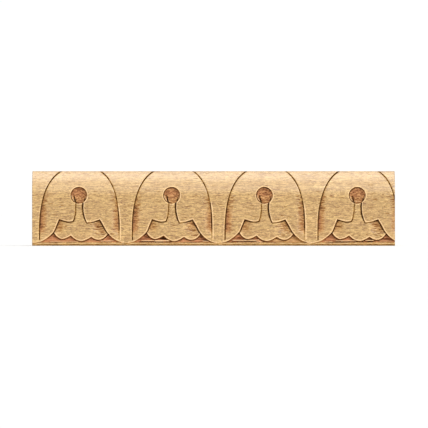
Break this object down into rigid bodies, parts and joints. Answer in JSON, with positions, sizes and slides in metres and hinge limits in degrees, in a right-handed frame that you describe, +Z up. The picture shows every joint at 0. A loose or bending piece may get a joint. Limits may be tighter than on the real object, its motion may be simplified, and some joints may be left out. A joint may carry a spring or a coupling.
{
  "type": "decorative moulding strip",
  "caption": "Carved wooden moulding strip with a rounded top and a flat back, bearing a repeated leaf-under-arch ornament along its face.",
  "frame": {"origin": "middle of the underside, halfway along the strip and halfway through its depth", "axes": "+X along the strip, to the right as the carved face is seen; -Y out of the carved face; +Y out of the flat back; +Z up"},
  "size_m": [0.1554, 0.0126, 0.032],
  "materials": {
    "bare_wood": "bare, fine-grained pale hardwood, satin where a cutter has smoothed it and rough in the cut-away ground"
  },
  "bodies": {
    "root": {"moulding_strip": "bare_wood"}
  },
  "joints": []
}
